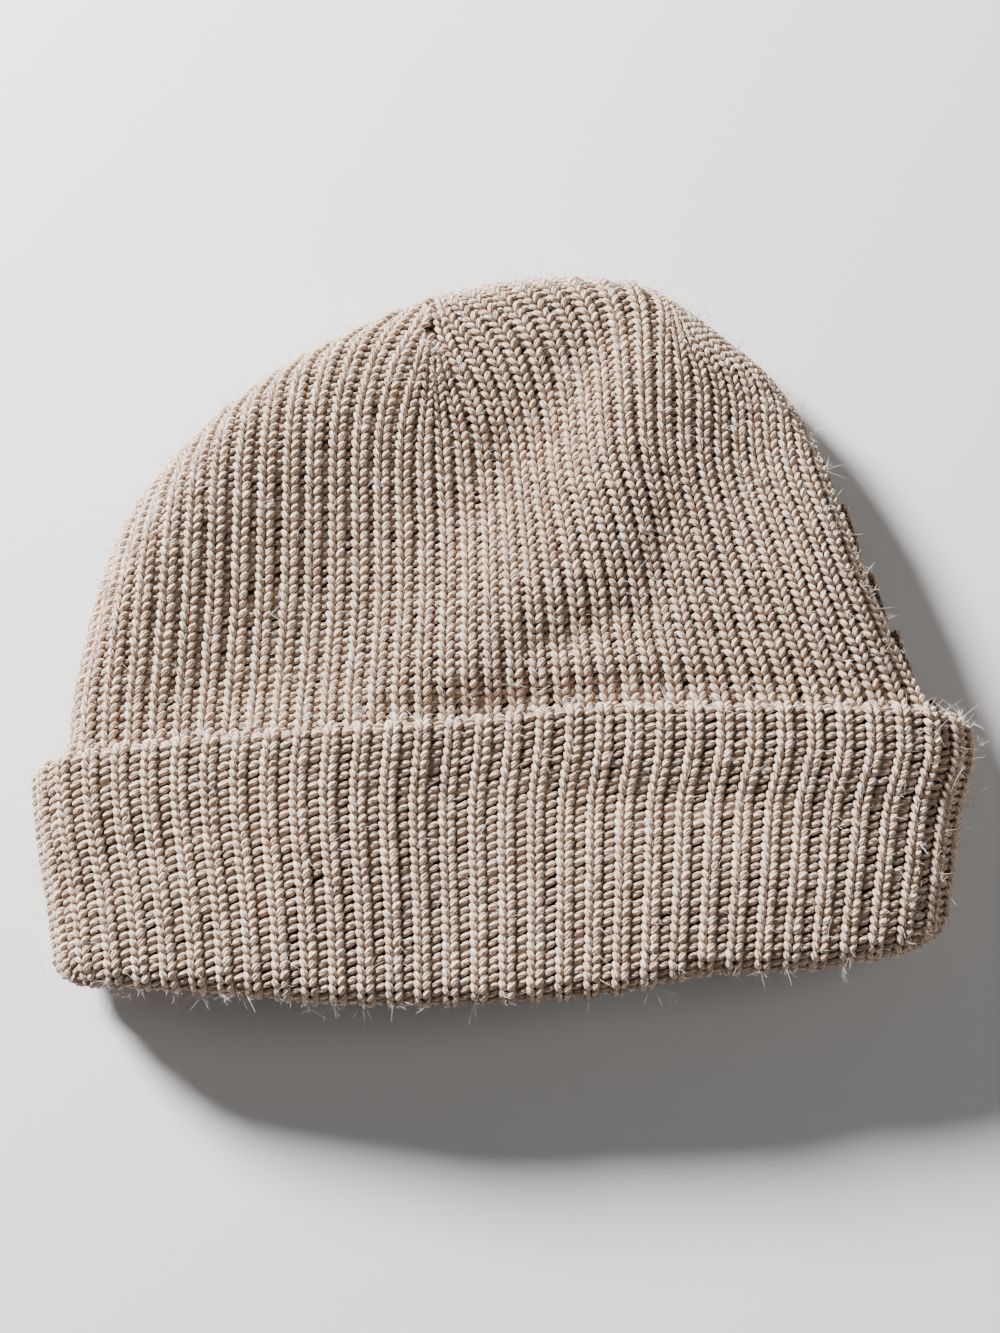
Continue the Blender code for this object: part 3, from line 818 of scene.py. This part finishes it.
# ---------------------------------------------------------------- ground under the stitches
def ground(name, source, inset, material, levels):
    """The knit's base: the constructed wall, drawn in a little and smoothed, so that the yarn stands on it."""
    original = bpy.data.objects[source]
    mesh = original.data.copy()
    mesh.name = name
    count = len(mesh.vertices)
    co = np.empty(count * 3, np.float32)
    mesh.vertices.foreach_get("co", co)
    normal = np.empty(count * 3, np.float32)
    mesh.vertex_normals.foreach_get("vector", normal)
    co = co.reshape(-1, 3) - normal.reshape(-1, 3) * inset * MM
    co[:, 2] = np.maximum(co[:, 2], 0.0004)
    mesh.vertices.foreach_set("co", co.ravel())
    mesh.materials.clear()
    mesh.materials.append(material)
    obj = bpy.data.objects.new(name, mesh)
    bpy.context.scene.collection.objects.link(obj)
    if levels:
        modifier = obj.modifiers.new("smooth", "SUBSURF")
        modifier.levels = modifier.render_levels = levels
    return obj


# ---------------------------------------------------------------- build
wool_crown = wool("crown_wool")
wool_cuff = wool("cuff_wool")
# The ground's wool colour is painted darker, as shade falling between the stitches.
ground_crown_wool = wool("crown_ground_wool", strand=False, painted_shade=0.80, rib_pitch=0.00605)
ground_cuff_wool = wool("cuff_ground_wool", strand=False, painted_shade=0.80, rib_pitch=0.00742)
fibre_wool = fibre_material()

pieces = []
surface_points, surface_normals = {}, {}


def finish_piece(obj, node_name):
    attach(obj, "root")
    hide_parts(node_name)
    pieces.append(obj)


FINE = 0.3

for upper in (True, False):
    lines, on = trace_crown(upper)
    points, good = evenly(lines, on, FINE, int(190 / FINE))
    columns = Columns(points, good, FINE, down=not upper)
    if upper:
        crown_columns = columns
    yarn = Yarn(6 if upper else 4)
    rib, at = stitches(columns, CROWN_ROW, 1, 80)
    if upper:
        # None under the cuff, where nothing can be seen.
        place = columns.point[rib, np.clip((at / FINE).astype(int), 0, columns.good.shape[1] - 1)]
        shown = place[:, 1] > cuff_top(place[:, 0]) - 6.0
        rib, at = rib[shown], at[shown]
    if not upper:
        # The last ribs of the back stop short of the outline, where the front's ribs come round it.
        facing = columns.normal[rib, np.clip((at / FINE).astype(int), 0, columns.good.shape[1] - 1), 2]
        rib, at = rib[facing < -0.30], at[facing < -0.30]
    detail = 5 if upper else 4
    for side in (-1, 1):
        knit_legs(yarn, columns, rib, at, CROWN_ROW, side, detail)
    label = "crown_knit_" + ("front" if upper else "back")
    finish_piece(yarn.build(label, wool_crown), "crown")
    yarn = Yarn(5 if upper else 4)
    i = np.clip((at / FINE).astype(int), 0, columns.good.shape[1] - 1)
    following = np.minimum(rib + 1, len(columns.point) - 1)
    both = columns.good[following, i] & (following != rib)
    apart = np.linalg.norm(columns.point[following, i] - columns.point[rib, i], axis=1)
    both &= (apart < 10) & (apart > 2.4)
    purl_bumps(yarn, columns, rib[both], at[both], CROWN_ROW, 0.6, 5 if upper else 4, False, 0.95, 0.44, 1.30)
    finish_piece(yarn.build(label.replace("knit", "furrow"), wool_crown), "crown")
    surface_points[label] = columns.point[rib, i]
    surface_normals[label] = columns.normal[rib, i]

span = np.arange(-9.0, 112.0, FINE)
ring = (np.arange(CUFF_RIBS) + 0.35) / CUFF_RIBS
grid = cuff_surface(ring[:, None], span[None])
columns = Columns(grid, np.ones(grid.shape[:2], bool), FINE, closed=True, down=True)
total = int((span[-1] - span[0]) / CUFF_ROW) - 2
rib, at = stitches(columns, -CUFF_ROW, -total, -1)
at = np.abs(at)
height = columns.point[rib, np.clip((at / FINE).astype(int), 0, grid.shape[1] - 1), 2]
front = (height > 8.0) & (at + span[0] > -5.5) & (at + span[0] < 72.0)
for label, some, sides, detail in (("cuff_knit_front", front, 6, 5), ("cuff_knit_back", ~front, 4, 4)):
    yarn = Yarn(sides)
    r, a = rib[some], at[some]
    for side in (-1, 1):
        # Length runs down the cuff and the V's point down it, so each stitch is laid upside down.
        knit_legs(yarn, columns, r, a, -CUFF_ROW, side, detail, spread=1.64, reach=1.02)
    finish_piece(yarn.build(label, wool_cuff), "cuff")
    yarn = Yarn(5 if sides == 6 else 4)
    purl_bumps(yarn, columns, r, a, -CUFF_ROW, 0.75, 5 if sides == 6 else 4, True, 1.05, 0.46, 1.05)
    finish_piece(yarn.build(label.replace("knit", "furrow"), wool_cuff), "cuff")
    i = np.clip((a / FINE).astype(int), 0, grid.shape[1] - 1)
    surface_points[label] = columns.point[r, i]
    surface_normals[label] = columns.normal[r, i]

finish_piece(ground("crown_ground", "crown", 0.7, ground_crown_wool, 1), "crown")
finish_piece(ground("cuff_ground", "cuff", 0.8, ground_cuff_wool, 1), "cuff")

for label, count in (("crown_knit_front", 15000), ("cuff_knit_front", 12000), ("crown_knit_back", 2000), ("cuff_knit_back", 3000)):
    p, n = surface_points[label], surface_normals[label]
    p = p + rng.normal(0, 1.3, p.shape)
    part = label.split("_")[0]
    obj = fuzz(label.replace("knit", "fuzz"), p, n, count, 3.3, 0.055, fibre_wool, seed=len(label) + count,
               pills=PILLS if label == "crown_knit_front" else ())
    finish_piece(obj, part)


# ---------------------------------------------------------------- floor, light and camera
def area_light(name, place, target, size, power, colour):
    data = bpy.data.lights.new(name, "AREA")
    data.shape, data.size, data.energy, data.color = "DISK", size, power, colour
    obj = bpy.data.objects.new(name, data)
    from mathutils import Vector
    obj.location = place
    obj.rotation_euler = (Vector(target) - Vector(place)).to_track_quat("-Z", "Y").to_euler()
    bpy.context.scene.collection.objects.link(obj)
    return obj


def make_floor():
    points = np.array([[-1.5, -1.5, 0], [1.5, -1.5, 0], [1.5, 1.5, 0], [-1.5, 1.5, 0]], float)
    mesh = mesh_from("floor", points, np.array([[0, 1, 2, 3]]))
    material, tree, shader = new_material("floor_paint")
    shader.inputs["Base Color"].default_value = (0.70, 0.69, 0.68, 1.0)
    shader.inputs["Roughness"].default_value = 0.9
    mesh.materials.append(material)
    obj = bpy.data.objects.new("floor", mesh)
    bpy.context.scene.collection.objects.link(obj)


make_floor()
area_light("window", (-0.92, 0.80, 0.62), (0.0, 0.0, 0.0), 0.34, 118.0, (0.98, 0.985, 1.0))
area_light("fill", (0.9, -0.1, 1.0), (0.0, 0.0, 0.0), 0.9, 4.0, (1.0, 0.97, 0.94))
world = bpy.data.worlds.new("studio")
bpy.context.scene.world = world
world.use_nodes = True
world.node_tree.nodes["Background"].inputs[0].default_value = (0.93, 0.95, 1.0, 1.0)
world.node_tree.nodes["Background"].inputs[1].default_value = 0.10

AIM = (0.0 - CENTRE[0] * MM, -0.0126 - CENTRE[1] * MM, 0.012)
camera_data = bpy.data.cameras.new("view")
camera_data.sensor_fit = "HORIZONTAL"
camera_data.sensor_width = 36.0
camera_data.lens = 36.0 * (DISTANCE / 0.000257) / 1000.0
camera = bpy.data.objects.new("view", camera_data)
camera.location = (AIM[0], AIM[1] - DISTANCE * math.cos(ELEVATION), AIM[2] + DISTANCE * math.sin(ELEVATION))
camera.rotation_euler = (math.pi / 2 - ELEVATION, 0.0, 0.0)
bpy.context.scene.collection.objects.link(camera)
bpy.context.scene.camera = camera

for piece in pieces:
    count = sum(len(p.vertices) - 2 for p in piece.data.polygons)
    print("piece", piece.name, "triangles", count * (4 if piece.modifiers else 1))
